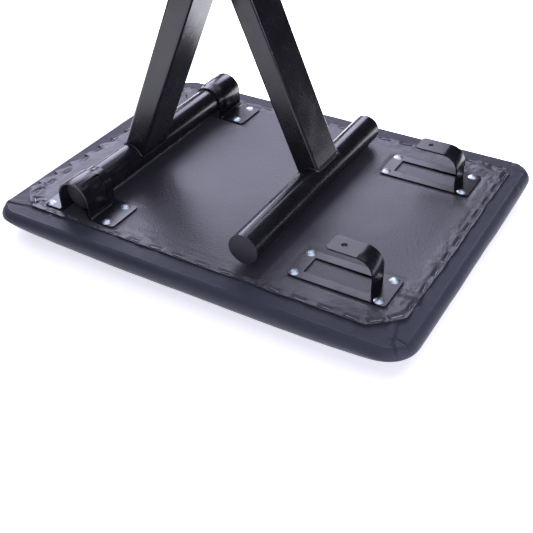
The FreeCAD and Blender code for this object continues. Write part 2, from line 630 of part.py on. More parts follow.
def make_foot(letter, bar_x, lean):
    """Foot bar and the two rubber caps it stands on."""
    reach = size("foot_reach")
    bar = make_tube("foot_bar_" + letter, "foot_half", 0, reach)
    caps = []
    for side in (-1, 1):
        tag = "foot_cap_%s_%s" % (letter, "near" if side < 0 else "far")
        end = size("foot_half") + size("foot_cap_end")
        low = end - size("foot_cap_length") if side > 0 else -end
        body = doc.addObject("PartDesign::Body", tag)
        sheet = sketch_on(body, tag + "_circle", "XZ_Plane")
        sheet.addGeometry(Part.Circle(V(0, 0, 0), V(0, 0, 1), size("foot_cap_radius")), False)
        sheet.addConstraint(Sketcher.Constraint("Coincident", 0, 3, -1, 1))
        datum = sheet.addConstraint(Sketcher.Constraint("Radius", 0, size("foot_cap_radius")))
        bind(sheet, **{"Constraints[%d]" % datum: "foot_cap_radius"})
        pad = body.newObject("PartDesign::Pad", tag + "_pad")
        pad.Profile = sheet
        pad.Reversed = True
        bind(pad, Length="foot_cap_length")
        fillet(body, tag + "_round", pad, lambda edge: edge.BoundBox.XLength > 1, "foot_cap_round")
        place(body, 0, low, reach)
        bore_low = low if side > 0 else low + size("foot_cap_end")
        bore = rod(tag + "_bore", "bar_radius", "foot_cap_length-foot_cap_end", 0, bore_low, reach)
        caps.append(cut(tag + "_cut", body, bore))
    pair = join("foot_caps_%s_pair" % letter, *caps)
    lean_all(bar_x, lean, bar, pair)
    node(bar, "foot_bar_" + letter)
    node(pair, "foot_caps_" + letter)


def make_bars():
    """The crossbar held by the clamps, with its drain hole, and the loose one that the hooks catch."""
    fixed = make_tube("bar_a", "bar_half", FIXED_X, BAR_Z)
    drain = bind(doc.addObject("Part::Cylinder", "drain_hole"), Radius="drain_radius",
                 Height="bar_radius+2")
    place(drain, FIXED_X, size("drain_y"), BAR_Z, V(0, 1, 0), 90 - size("drain_angle"))
    node(cut("bar_a_cut", fixed, drain), "bar_a")
    node(make_tube("bar_b", "bar_half", LOOSE_X, BAR_Z), "bar_b")
    make_plugs("bar_a_caps", FIXED_X, BAR_Z, "cap_radius")
    make_plugs("bar_b_plugs", LOOSE_X, BAR_Z, "bar_radius")


# ---------------------------------------------------------------- pivot bolt
def washer(label, outer, thick, low):
    disc = rod(label + "_disc", outer, thick, PIVOT_X, low, PIVOT_Z)
    bore = rod(label + "_bore", "bolt_radius+bolt_gap", thick, PIVOT_X, low, PIVOT_Z)
    return node(cut(label + "_cut", disc, bore), label)


def hexagon(name, high, low):
    item = doc.addObject("Part::Prism", name)
    item.Polygon = 6
    bind(item, Circumradius="hex_radius", Height=high)
    return place(item, PIVOT_X, low, PIVOT_Z, V(1, 0, 0), -90)


def make_pivot():
    """Bolt, washers, spacer and lock nut on the axis where the legs cross."""
    face = size("leg_offset") + size("leg_width") / 2
    gap = size("leg_offset") - size("leg_width") / 2
    thick = size("washer_thick")
    head_low = -face - thick - size("bolt_head")
    nut_low = face + size("turn_gap") + thick
    nut_top = nut_low + size("nut_high") + size("nut_collar")
    head = hexagon("bolt_head_hex", "bolt_head", head_low)
    shank = bind(doc.addObject("Part::Cylinder", "bolt_shank"), Radius="bolt_radius")
    shank.Height = nut_top + size("bolt_end") - (-face - thick)
    place(shank, PIVOT_X, -face - thick, PIVOT_Z, V(1, 0, 0), -90)
    node(join("pivot_bolt_full", head, shank), "pivot_bolt")
    washer("pivot_washer_near", "washer_radius", "washer_thick", -face - thick)
    washer("pivot_washer_far", "washer_radius", "washer_thick", face + size("turn_gap"))
    washer("pivot_spacer", "spacer_radius", "2*(leg_offset-leg_width/2)-turn_gap", -gap)
    nut = hexagon("nut_hex", "nut_high", nut_low)
    collar = rod("nut_ring_rod", "nut_ring", "nut_collar", PIVOT_X, nut_low + size("nut_high"), PIVOT_Z)
    bore = rod("nut_bore", "bolt_radius", "nut_high+nut_collar", PIVOT_X, nut_low, PIVOT_Z)
    node(cut("pivot_nut_cut", join("nut_full", nut, collar), bore), "pivot_nut")


# ---------------------------------------------------------------- build, check and write
make_seat()
make_staples("cover_staples", COVER_TOP - size("staple_wire"), size("cover_staple_in"),
             size("cover_staple_pitch"))
make_staples("dust_cover_staples", UNDERSIDE, size("staple_inset"), size("dust_staple_pitch"))
for place_name, place_side in SIDES.items():
    make_clamp("clamp_" + place_name, place_side, -place_side)
    make_saddle("bar_saddle_" + place_name, place_side)
    make_hook("hook_" + place_name, place_side)
make_screws()
make_bars()
make_leg("a", -1, FIXED_X, size("rest_angle"))
make_leg("b", 1, LOOSE_X, -size("rest_angle"))
make_foot("a", FIXED_X, size("rest_angle"))
make_foot("b", LOOSE_X, -size("rest_angle"))
make_pivot()
doc.recompute()

for item in doc.Objects:
    if "Invalid" in item.State or "Error" in item.State:
        raise RuntimeError("failed feature: %s %s" % (item.Name, item.State))
for item in NODES:
    if item.Shape.isNull() or not item.Shape.isValid():
        raise RuntimeError("bad shape: " + item.Label)

os.makedirs("parts", exist_ok=True)
for item in NODES:
    item.Shape.exportStep("parts/%s.step" % item.Label)
    ends = item.Shape.BoundBox
    print("%-20s solids %2d  volume %9.1f  x %7.1f %7.1f  y %7.1f %7.1f  z %6.1f %6.1f" % (
        item.Label, len(item.Shape.Solids), item.Shape.Volume, ends.XMin, ends.XMax, ends.YMin, ends.YMax,
        ends.ZMin, ends.ZMax))
print("pivot", round(PIVOT_X, 3), round(PIVOT_Z, 3), "loose bar", round(LOOSE_X, 3))
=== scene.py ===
"""Looks of the padded board on a folding X frame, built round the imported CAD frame. Metres."""
import json
import math
import random

import bmesh
import bpy
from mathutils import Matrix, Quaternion, Vector, noise


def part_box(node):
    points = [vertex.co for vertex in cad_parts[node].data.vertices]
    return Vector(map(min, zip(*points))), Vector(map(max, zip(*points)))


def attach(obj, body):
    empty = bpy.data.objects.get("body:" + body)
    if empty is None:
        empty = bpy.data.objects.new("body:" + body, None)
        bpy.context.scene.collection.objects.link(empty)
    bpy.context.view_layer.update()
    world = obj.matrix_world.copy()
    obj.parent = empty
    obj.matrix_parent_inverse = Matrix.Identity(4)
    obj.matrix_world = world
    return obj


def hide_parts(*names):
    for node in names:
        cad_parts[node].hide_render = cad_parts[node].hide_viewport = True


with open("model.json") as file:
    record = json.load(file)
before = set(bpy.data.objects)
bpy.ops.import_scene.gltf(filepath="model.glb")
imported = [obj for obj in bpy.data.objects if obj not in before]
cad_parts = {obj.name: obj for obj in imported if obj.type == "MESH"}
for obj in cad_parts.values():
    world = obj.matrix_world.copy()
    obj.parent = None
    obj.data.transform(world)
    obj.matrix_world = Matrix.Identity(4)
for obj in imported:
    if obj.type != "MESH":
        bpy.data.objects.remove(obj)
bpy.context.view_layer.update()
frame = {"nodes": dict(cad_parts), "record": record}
MM = 0.001

# ---------------------------------------------------------------- places read from the frame
COVER_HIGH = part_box("seat_cover")[1]
DUST_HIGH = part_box("dust_cover")[1]
PLATES = [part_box(name) for name in ("clamp_near", "clamp_far", "hook_near", "hook_far")]
HALF_LONG = COVER_HIGH.x
HALF_WIDE = COVER_HIGH.y
COVER_TOP = COVER_HIGH.z


# ---------------------------------------------------------------- small maths
def clamp01(value):
    return max(0.0, min(1.0, value))


def smooth(low, high, value):
    """0 below low, 1 above high, and an even curve between."""
    t = clamp01((value - low) / (high - low))
    return t * t * (3 - 2 * t)


def bump_at(value, centre, width):
    """A soft hump of height 1 at centre."""
    return math.exp(-((value - centre) / width) ** 2)


def ripple(point, pitch, seed=0.0):
    """Smooth noise from -1 to 1 whose humps lie about a pitch apart; each seed gives another pattern."""
    return noise.noise(Vector(point) / pitch + Vector((seed, 2.7 * seed, 5.3 * seed)))


# ---------------------------------------------------------------- node trees
def shader(name, **sockets):
    """A new material with a Principled shader whose constant sockets are set by name."""
    made = bpy.data.materials.new(name)
    made.use_nodes = True
    tree = made.node_tree
    surface = tree.nodes["Principled BSDF"]
    for key, value in sockets.items():
        surface.inputs[key.replace("_", " ")].default_value = value
    where = tree.nodes.new("ShaderNodeTexCoord")
    return made, tree, surface, where.outputs["Object"]


def add(tree, kind, **values):
    """A node with its properties and its input sockets set by name."""
    made = tree.nodes.new("ShaderNode" + kind)
    for key, value in values.items():
        label = key.replace("_", " ")
        if label in made.inputs:
            made.inputs[label].default_value = value
        else:
            setattr(made, key, value)
    return made


def noise_at(tree, place, per_metre, detail=4.0, rough=0.55):
    """Cloudy noise, from 0 to 1."""
    made = add(tree, "TexNoise", Scale=per_metre, Detail=detail, Roughness=rough)
    tree.links.new(place, made.inputs["Vector"])
    return made.outputs["Fac"]


def cells_at(tree, place, per_metre, feature="F1"):
    """Distance to the nearest of some scattered points, which reads as grain or open cells."""
    made = add(tree, "TexVoronoi", feature=feature, Scale=per_metre)
    tree.links.new(place, made.inputs["Vector"])
    return made.outputs["Distance"]


def ramp(tree, value, *stops):
    """A colour ramp; each stop is (position, colour)."""
    made = add(tree, "ValToRGB")
    points = made.color_ramp.elements
    while len(points) < len(stops):
        points.new(0.5)
    for point, (position, colour) in zip(points, stops):
        point.position = position
        point.color = (*colour, 1)
    tree.links.new(value, made.inputs["Fac"])
    return made.outputs["Color"]


def spread(tree, value, low, high, start=0.0, stop=1.0):
    """Maps a value from start..stop to low..high."""
    made = tree.nodes.new("ShaderNodeMapRange")
    for key, number in (("From Min", start), ("From Max", stop), ("To Min", low), ("To Max", high)):
        made.inputs[key].default_value = number
    tree.links.new(value, made.inputs["Value"])
    return made.outputs["Result"]


def mixed(tree, share, first, second, blend="MIX"):
    """Two colours mixed by a share; each may be a constant or another node's output."""
    made = add(tree, "Mix", data_type="RGBA", blend_type=blend)
    if isinstance(share, float):
        made.inputs[0].default_value = share
    else:
        tree.links.new(share, made.inputs[0])
    for socket, value in ((made.inputs[6], first), (made.inputs[7], second)):
        if isinstance(value, tuple):
            socket.default_value = (*value, 1)
        else:
            tree.links.new(value, socket)
    return made.outputs[2]


def relief(tree, surface, *layers):
    """Bump layers on a shader; each is (height, share, depth in metres)."""
    last = None
    for height, strength, depth in layers:
        made = add(tree, "Bump", Strength=strength, Distance=depth)
        tree.links.new(height, made.inputs["Height"])
        if last:
            tree.links.new(last, made.inputs["Normal"])
        last = made.outputs["Normal"]
    tree.links.new(last, surface.inputs["Normal"])


def coat(tree, surface, colour, roughness):
    """Links a shader's colour and its roughness."""
    tree.links.new(colour, surface.inputs["Base Color"])
    tree.links.new(roughness, surface.inputs["Roughness"])


def worn_and_highlit_edges(tree, reach):
    """1 close to sharp edges, falling to 0 within reach of them; the mask for edge wear and a painted edge
    highlight.
    """
    rounded = add(tree, "Bevel", samples=4, Radius=reach)
    true_face = tree.nodes.new("ShaderNodeNewGeometry")
    agree = add(tree, "VectorMath", operation="DOT_PRODUCT")
    tree.links.new(rounded.outputs["Normal"], agree.inputs[0])
    tree.links.new(true_face.outputs["Normal"], agree.inputs[1])
    return spread(tree, agree.outputs["Value"], 0.0, 1.0, 0.99, 0.86)


# ---------------------------------------------------------------- materials
def cover_vinyl():
    """Slate-black faux leather with a fine pebble grain."""
    made, tree, surface, place = shader("cover_vinyl", Specular_IOR_Level=0.22, Sheen_Weight=0.15,
                                        Sheen_Roughness=0.4)
    grain = cells_at(tree, place, 950, "SMOOTH_F1")
    fine = noise_at(tree, place, 2600, 3)
    broad = noise_at(tree, place, 14, 3)
    colour = ramp(tree, broad, (0.3, (0.033, 0.035, 0.048)), (0.7, (0.045, 0.048, 0.065)))
    colour = mixed(tree, spread(tree, grain, 0.0, 0.5), colour, (0.020, 0.021, 0.030))
    coat(tree, surface, colour, spread(tree, broad, 0.5, 0.62, 0.3, 0.7))
    pebble = noise_at(tree, place, 520, 3, 0.6)
    relief(tree, surface, (grain, 0.35, 0.12 * MM), (fine, 0.25, 0.05 * MM), (pebble, 0.3, 0.2 * MM))
    return made


def dust_vinyl():
    """Thin dark backing vinyl with a dry, fine-grained face."""
    made, tree, surface, place = shader("dust_vinyl", Specular_IOR_Level=0.5, Sheen_Weight=0.1,
                                        Sheen_Roughness=0.5)
    grain = noise_at(tree, place, 1500, 5, 0.65)
    pebble = cells_at(tree, place, 560, "SMOOTH_F1")
    cloud = noise_at(tree, place, 480, 4, 0.6)
    broad = noise_at(tree, place, 11, 4)
    colour = ramp(tree, broad, (0.3, (0.017, 0.0165, 0.021)), (0.7, (0.027, 0.026, 0.033)))
    colour = mixed(tree, spread(tree, grain, 0.0, 0.6, 0.35, 0.75), colour, (0.045, 0.044, 0.053))
    coat(tree, surface, colour, spread(tree, broad, 0.36, 0.46, 0.3, 0.7))
    relief(tree, surface, (grain, 0.35, 0.14 * MM), (pebble, 0.4, 0.4 * MM), (cloud, 0.3, 0.4 * MM))
    return made


def black_paint(name="black_paint", specular=0.5):
    """Glossy black enamel: a weak orange peel, with sharp edges painted lighter, partly as wear and partly as
    a painted highlight.
    """
    made, tree, surface, place = shader(name, Specular_IOR_Level=specular)
    peel = noise_at(tree, place, 900, 2, 0.4)
    dust = noise_at(tree, place, 60, 5)
    colour = ramp(tree, dust, (0.35, (0.0065, 0.0065, 0.008)), (0.7, (0.0105, 0.0105, 0.013)))
    # sharp edges painted lighter: partly wear, partly a painted highlight where light catches them
    colour = mixed(tree, worn_and_highlit_edges(tree, 0.5 * MM), colour, (0.03, 0.03, 0.036))
    coat(tree, surface, colour, spread(tree, dust, 0.22, 0.29, 0.35, 0.7))
    relief(tree, surface, (peel, 0.06, 0.05 * MM))
    return made


def zinc(name="zinc", tint=0.6, plain=(0.58, 0.61, 0.63), rough=0.32):
    """Bright zinc plate with a faint blue-green passivate tint."""
    made, tree, surface, place = shader(name, Metallic=1.0, Anisotropic=0.2)
    cloud = noise_at(tree, place, 240, 3)
    scratch = noise_at(tree, place, 3200, 2)
    tone = ramp(tree, cloud, (0.36, (0.34, 0.60, 0.63)), (0.5, (0.62, 0.72, 0.74)),
                (0.66, (0.74, 0.74, 0.71)))
    coat(tree, surface, mixed(tree, tint, plain, tone), spread(tree, scratch, rough, rough + 0.14, 0.3, 0.7))
    relief(tree, surface, (scratch, 0.2, 0.03 * MM))
    return made


def black_plastic():
    """Moulded nylon with a fine spark-eroded texture."""
    made, tree, surface, place = shader("black_plastic", Specular_IOR_Level=0.45)
    grain = noise_at(tree, place, 2400, 3)
    broad = noise_at(tree, place, 40, 3)
    colour = ramp(tree, broad, (0.3, (0.022, 0.021, 0.026)), (0.7, (0.034, 0.033, 0.039)))
    coat(tree, surface, colour, spread(tree, grain, 0.42, 0.56, 0.3, 0.7))
    relief(tree, surface, (grain, 0.3, 0.05 * MM))
    return made


def foot_rubber():
    """Matt black rubber with a patchy grey bloom."""
    made, tree, surface, place = shader("foot_rubber", Specular_IOR_Level=0.3)
    grain = noise_at(tree, place, 1800, 4)
    bloom = noise_at(tree, place, 70, 5)
    colour = ramp(tree, bloom, (0.35, (0.012, 0.012, 0.013)), (0.75, (0.032, 0.032, 0.034)))
    coat(tree, surface, colour, spread(tree, bloom, 0.62, 0.82, 0.3, 0.7))
    relief(tree, surface, (grain, 0.4, 0.1 * MM))
    return made


def plywood():
    """Birch plywood: long grain on the faces and dark glue lines round the edge."""
    made, tree, surface, place = shader("plywood", Specular_IOR_Level=0.3)
    stretch = add(tree, "Mapping")
    stretch.inputs["Scale"].default_value = (3.0, 42.0, 42.0)
    tree.links.new(place, stretch.inputs["Vector"])
    grain = noise_at(tree, stretch.outputs["Vector"], 6, 6, 0.6)
    plies = add(tree, "TexWave", wave_type="BANDS", bands_direction="Z", Scale=130.0, Distortion=0.4)
    tree.links.new(place, plies.inputs["Vector"])
    wood = ramp(tree, grain, (0.3, (0.46, 0.30, 0.16)), (0.55, (0.62, 0.44, 0.26)),
                (0.75, (0.70, 0.53, 0.34)))
    layers = ramp(tree, plies.outputs["Fac"], (0.1, (0.55, 0.5, 0.45)), (0.4, (1.0, 1.0, 1.0)))
    coat(tree, surface, mixed(tree, 1.0, wood, layers, "MULTIPLY"), spread(tree, grain, 0.55, 0.75))
    relief(tree, surface, (grain, 0.3, 0.2 * MM))
    return made


def foam():
    """Pale yellow open-cell foam, with painted shade darkening the cells' hollows."""
    made, tree, surface, place = shader("foam", Specular_IOR_Level=0.2, Subsurface_Weight=0.15,
                                        Subsurface_Radius=(4 * MM, 3 * MM, 2 * MM))
    cells = cells_at(tree, place, 700)
    broad = noise_at(tree, place, 25, 3)
    tone = ramp(tree, broad, (0.3, (0.72, 0.68, 0.52)), (0.7, (0.80, 0.77, 0.64)))
    # the cells' hollows are painted darker: painted shade in the pits
    tone = mixed(tree, spread(tree, cells, 0.5, 0.0, 0.0, 0.6), tone, (0.35, 0.30, 0.2))
    coat(tree, surface, tone, spread(tree, broad, 0.85, 0.95))
    relief(tree, surface, (cells, 0.7, 0.5 * MM))
    return made


MATERIALS = {"cover_vinyl": cover_vinyl(), "dust_cloth": dust_vinyl(), "black_paint": black_paint(),
             "zinc": zinc(), "staple_steel": zinc("staple_steel", 0.2, plain=(0.26, 0.26, 0.27), rough=0.36),
             "black_plastic": black_plastic(), "foot_rubber": foot_rubber(), "board_wood": plywood(),
             "foam": foam()}
# a duller copy of the black paint for the hooks: a shaded copy whose weaker reflection paints shade on their
# plates
HOOK_PAINT_DULLED_FOR_SHADE = black_paint("hook_paint_dulled_for_shade", specular=0.32)
for part in frame["record"]["subparts"]:
    cad_mesh = frame["nodes"][part["node"]].data
    cad_mesh.materials.clear()
    is_hook = part["node"].startswith("hook_") and part["material_slot"] == "black_paint"
    cad_mesh.materials.append(HOOK_PAINT_DULLED_FOR_SHADE if is_hook else MATERIALS[part["material_slot"]])


def finish_piece(mesh_maker, name, slot, body="seat"):
    """Turns a bmesh into a piece that rides on a body and carries its slot's material."""
    mesh = bpy.data.meshes.new(name)
    mesh_maker.to_mesh(mesh)
    mesh_maker.free()
    for face in mesh.polygons:
        face.use_smooth = True
    mesh.materials.append(MATERIALS[slot])
    piece = bpy.data.objects.new(name, mesh)
    bpy.context.scene.collection.objects.link(piece)
    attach(piece, body)
    return piece


# ---------------------------------------------------------------- outlines of the soft pieces
CORNER_SIGNS = ((1, 1), (-1, 1), (-1, -1), (1, -1))
FEWEST_TURN_STEPS = 6


def around(half_x, half_y, corner, step, corner_step):
    """Stations round a rounded rectangle, anticlockwise from the far right: (kind, index, share along it)."""
    stations = []
    turn_steps = max(FEWEST_TURN_STEPS, round(corner * math.pi / 2 / corner_step))
    for index in range(4):
        stations += [("corner", index, i / turn_steps) for i in range(turn_steps)]
        length = 2 * ((half_x if index % 2 == 0 else half_y) - corner)
        side_steps = 2 * max(2, round(length / step / 2))
        stations += [("side", index, i / side_steps) for i in range(side_steps)]
    return stations


def outline_at(station, half_x, half_y, corner):
    """Point and outward normal of a rounded rectangle at one station."""
    kind, index, share = station
    corner = max(corner, min(2 * MM, half_x, half_y))
    inner = Vector((half_x - corner, half_y - corner))
    start = Vector((CORNER_SIGNS[index][0] * inner.x, CORNER_SIGNS[index][1] * inner.y))
    if kind == "corner":
        angle = math.radians(90) * (index + share)
        out = Vector((math.cos(angle), math.sin(angle)))
        return start + out * corner, out
    angle = math.radians(90) * (index + 1)
    out = Vector((math.cos(angle), math.sin(angle)))
    ahead = CORNER_SIGNS[(index + 1) % 4]
    return start.lerp(Vector((ahead[0] * inner.x, ahead[1] * inner.y)), share) + out * corner, out


def bridge(maker, first, second):
    """Four-sided faces between two closed rings of vertices."""
    count = len(first)
    for i in range(count):
        j = (i + 1) % count
        maker.faces.new((first[i], first[j], second[j], second[i]))


def loft(stations, rows, point_of):
    """A skin over rows of points; points that fall together where a ring is drawn in are merged."""
    maker = bmesh.new()
    rings = [[maker.verts.new(point_of(station, row)) for station in stations] for row in rows]
    for upper, lower in zip(rings, rings[1:]):
        bridge(maker, upper, lower)
    bmesh.ops.remove_doubles(maker, verts=maker.verts, dist=2e-6)
    bmesh.ops.dissolve_degenerate(maker, dist=1e-6, edges=maker.edges)
    bmesh.ops.recalc_face_normals(maker, faces=maker.faces)
    return maker


def fold(x, y, start, stop, height, reach, edge=0.5 * MM):
    """A cloth edge that lies on its neighbour: raised on the left of the line from start to stop."""
    line = Vector(stop) - Vector(start)
    gap = Vector((x, y)) - Vector(start)
    along = gap.dot(line) / line.length
    aside = (line.x * gap.y - line.y * gap.x) / line.length
    ends = smooth(-2 * MM, 1 * MM, along) * (1 - smooth(line.length - 1 * MM, line.length + 3 * MM, along))
    return height * ends * smooth(-edge, edge, aside) * (1 - smooth(0.35 * reach, reach, aside))


# ---------------------------------------------------------------- upholstered cover
CREASE_IN = 5 * MM  # from the bulge's outermost line in to the crease round the underside
CREASE_CORNER = 20 * MM
SPACING_CORNER = CREASE_CORNER + 14 * MM  # corner radius that the stations are spaced for
BULGE_Z = 22 * MM  # height of the bulge's outermost line
FACE_REACH = 36 * MM  # how far in the rounded edge of the seat face reaches
CREASE_X = HALF_LONG - CREASE_IN
CREASE_Y = HALF_WIDE - CREASE_IN
CORNER_SPREAD = 40 * MM  # the corners grow rounder by this towards the seat face
BARREL = 0.09  # share by which the ends draw in towards the seat face
RIDGE = 0.38 * MM
RIDGE_HALF = 1.8 * MM
RIDGE_ELSEWHERE = 0.3  # share of the ridge's height on the other three sides
ROLL_START = math.radians(32)  # the cover leaves its crease at a slope
BOARD_UNDER = 0.9 * MM  # the board lies this far under the cover, so no groove is deeper

# where the cover is folded on the underside: start, stop, height, reach (raised on the line's left)
COVER_FOLDS = [
    ((-0.2100, -0.1440), (-0.1770, -0.1385), 0.9 * MM, 7 * MM),
    ((-0.1560, -0.1370), (-0.1548, -0.1440), 0.7 * MM, 3.5 * MM),
    ((0.1945, -0.1410), (0.1870, -0.1200), 1.1 * MM, 10 * MM),
    ((0.1600, -0.1400), (0.1590, -0.1500), 0.7 * MM, 4 * MM),
    ((0.2080, -0.0950), (0.1940, -0.0940), 0.5 * MM, 6 * MM),
    ((0.1900, 0.1500), (0.2080, 0.1400), 1.0 * MM, 10 * MM),
    ((0.2100, 0.1130), (0.1950, 0.1160), 0.6 * MM, 7 * MM),
    ((-0.1880, 0.1420), (-0.2090, 0.1500), 1.2 * MM, 10 * MM),
    ((-0.1700, 0.1400), (-0.1720, 0.1560), 0.8 * MM, 5 * MM),
]

# grooves and lips where the cover is gathered: points of the line, height, width
COVER_SEAMS = [
    (((0.1935, -0.1395), (0.1985, -0.1408), (0.2040, -0.1430), (0.2080, -0.1462)), -1.2 * MM, 1.0 * MM),
    (((0.1938, -0.1400), (0.1952, -0.1470), (0.1990, -0.1525), (0.2035, -0.1565)), -1.1 * MM, 0.9 * MM),
    (((0.1920, -0.1410), (0.1933, -0.1478), (0.1970, -0.1538), (0.2015, -0.1578)), 0.5 * MM, 1.2 * MM),
    (((0.2000, -0.1470), (0.2070, -0.1510)), 1.0 * MM, 4.5 * MM),
    (((0.1595, -0.1483), (0.1605, -0.1397), (0.1616, -0.1349)), -0.8 * MM, 0.9 * MM),
    (((0.1950, -0.0940), (0.2057, -0.0950)), -0.5 * MM, 1.1 * MM),
]


def seam(x, y, points, height, width):
    """Height of a soft ridge, or of a groove if height is below zero, along a line of points."""
    spot = Vector((x, y))
    gaps = []
    for start, stop in zip(points, points[1:]):
        start, stop = Vector(start), Vector(stop)
        share = clamp01((spot - start).dot(stop - start) / (stop - start).length_squared)
        gaps.append((spot - start.lerp(stop, share)).length)
    return height * bump_at(min(gaps), 0, width)


def cover_point(station, row):
    """A point of the cover: row is (distance out from the crease line, height, share of the ridge)."""
    out_by, z, ridge = row
    out_by = max(out_by, -CREASE_Y)
    depth = clamp01((BULGE_Z - z) / BULGE_Z)
    near_rim = smooth(-140 * MM, -40 * MM, out_by)
    corner = CREASE_CORNER + out_by + CORNER_SPREAD * depth ** 1.3 * near_rim
    spot, out = outline_at(station, CREASE_X + out_by, CREASE_Y + out_by, corner)
    spot.y *= 1 - BARREL * depth * near_rim * abs(spot.x / CREASE_X) ** 4
    front = smooth(0.6, 0.98, -out.y)
    z += RIDGE * ridge * (RIDGE_ELSEWHERE + (1 - RIDGE_ELSEWHERE) * front)
    return cover_relief(Vector((spot.x, spot.y, z)), out, out_by)


def cover_relief(point, out, out_by):
    """The same point after the cover's pulls, folds and soft unevenness."""
    x, y, z = point
    rim = smooth(-60 * MM, -5 * MM, out_by)
    top = smooth(COVER_TOP - 2.5 * MM, COVER_TOP - 0.5 * MM, z)
    hand = ripple((x, y, z), 45 * MM, 1.0) * 0.5 * MM + ripple((x, y, z), 15 * MM, 2.0) * 0.18 * MM
    drawn = out * (hand * rim * smooth(1 * MM, 8 * MM, z) * (1 - top))
    pull = abs(ripple((x, y, 0), 14 * MM, 3.0)) * 0.5 * MM
    pull += abs(ripple((x, y, 0), 5 * MM, 3.5)) * 0.15 * MM
    margin = top * (1 - smooth(-3 * MM, 0, out_by))
    sink = -pull * margin * smooth(-30 * MM, -8 * MM, out_by)
    folded = sum(fold(x, y, *line) for line in COVER_FOLDS)
    folded += sum(seam(x, y, *line) for line in COVER_SEAMS)
    folded *= smooth(COVER_TOP - 9 * MM, COVER_TOP, z)
    return Vector((x + drawn.x, y + drawn.y, z + max(sink + folded, -BOARD_UNDER)))


def cover_rows():
    """Side view of the cover: margin on the underside, crease ridge, bulge, and the turn to the face."""
    rows = [(-37 * MM + i * 1.1 * MM, COVER_TOP, 0) for i in range(31)]
    low = COVER_TOP - 0.3 * MM
    for i in range(15):
        across = (i - 7) / 7
        z = COVER_TOP - (COVER_TOP - low) * smooth(0, 1, across)
        rows.append((across * RIDGE_HALF - RIDGE_HALF, z, (1 - abs(across)) ** 1.2))
    flat, steep = math.sin(ROLL_START), math.cos(ROLL_START)
    for i in range(1, 10):
        turn = ROLL_START + (math.radians(90) - ROLL_START) * i / 9
        out_by = CREASE_IN * (math.sin(turn) - flat) / (1 - flat)
        rows.append((out_by, BULGE_Z + (low - BULGE_Z) * math.cos(turn) / steep, 0))
    for i in range(1, 25):
        turn = math.radians(90) * i / 24
        rows.append((CREASE_IN - FACE_REACH * (1 - math.cos(turn)), BULGE_Z * (1 - math.sin(turn)), 0))
    return rows + [(-reach * MM, 0.0, 0) for reach in (40, 50, 65, 85, 110, 135, 150, 160)]


def make_cover():
    """The cover's skin, given the cloth's thickness inwards."""
    stations = around(CREASE_X, CREASE_Y, SPACING_CORNER, 2.0 * MM, 0.8 * MM)
    piece = finish_piece(loft(stations, cover_rows(), cover_point), "upholstery", "cover_vinyl")
    shell = piece.modifiers.new("cloth_thickness", "SOLIDIFY")
    shell.thickness = 0.8 * MM
    shell.offset = -1.0
    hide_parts("seat_cover")


# ---------------------------------------------------------------- foam core
def make_foam():
    """Foam between the cover and the board, with the board's bed let into it."""
    board_low, board_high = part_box("seat_board")
    skin = 2.6 * MM
    bed = CREASE_X - board_high.x
    rows = [(-160 * MM, board_low.z - 0.2 * MM, 0), (-bed - 0.3 * MM, board_low.z - 0.2 * MM, 0),
            (-bed + 0.3 * MM, board_low.z + 1 * MM, 0), (-bed + 0.3 * MM, COVER_TOP - 3.2 * MM, 0)]
    for i in range(7):
        turn = math.radians(90) * i / 6
        rows.append(((CREASE_IN - skin) * math.sin(turn) - skin,
                     BULGE_Z + (COVER_TOP - 3 * MM - BULGE_Z) * math.cos(turn), 0))
    for i in range(1, 13):
        turn = math.radians(90) * i / 12
        rows.append((CREASE_IN - 2 * skin - FACE_REACH * (1 - math.cos(turn)),
                     skin + (BULGE_Z - skin) * (1 - math.sin(turn)), 0))
    rows += [(-reach * MM, skin, 0) for reach in (60, 100, 140, 160)]

    def foam_point(station, row):
        point = cover_point(station, row)
        return point + Vector((0, 0, ripple(point, 9 * MM, 4.0) * 0.15 * MM))

    stations = around(CREASE_X, CREASE_Y, SPACING_CORNER, 6 * MM, 4 * MM)
    piece = finish_piece(loft(stations, rows, foam_point), "foam_core", "foam")
    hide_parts("foam_pad")


# ---------------------------------------------------------------- staples of the dust cover
CROWN_HALF = 5.4 * MM
WIRE = 0.36 * MM
POCKET_FAR_ALONG = 14 * MM  # past these distances a staple's dent is not felt
POCKET_FAR_ACROSS = 8 * MM
ONE_STAPLE = 14 * MM  # points closer than this belong to the same staple
INSIDE_CUT = 4 * MM  # how far inside a cut corner's edge a staple sits

# the sheet's near corners are folded back on a diagonal: a point on it, and the way out
CORNER_CUTS = ((Vector((0.1860, -0.1225)), Vector((0.67, -0.74))),
               (Vector((-0.1915, -0.1262)), Vector((-0.676, -0.737))))


def staple_spots():
    """Middle and heading of each staple's crown; those past a cut corner follow its edge."""
    boxes = []
    for vertex in frame["nodes"]["dust_cover_staples"].data.vertices:
        for low, high in boxes:
            if (low - vertex.co).length < ONE_STAPLE:
                for k in range(3):
                    low[k] = min(low[k], vertex.co[k])
                    high[k] = max(high[k], vertex.co[k])
                break
        else:
            boxes.append((vertex.co.copy(), vertex.co.copy()))
    spots = []
    for low, high in boxes:
        middle = (low + high) / 2
        heading = Vector((0, 1) if high.y - low.y > high.x - low.x else (1, 0))
        for point, out in CORNER_CUTS:
            over = (middle.xy - point).dot(out) + INSIDE_CUT
            if over > 0:
                middle.xy -= out * over
                heading = Vector((-out.y, out.x))
        spots.append((middle, heading))
    return spots


def from_staple(x, y, middle, heading):
    """Distance of a point from a staple's middle, along its crown and across it."""
    gap = Vector((x - middle.x, y - middle.y))
    return abs(gap.dot(heading)), abs(heading.x * gap.y - heading.y * gap.x)


STAPLES = staple_spots()


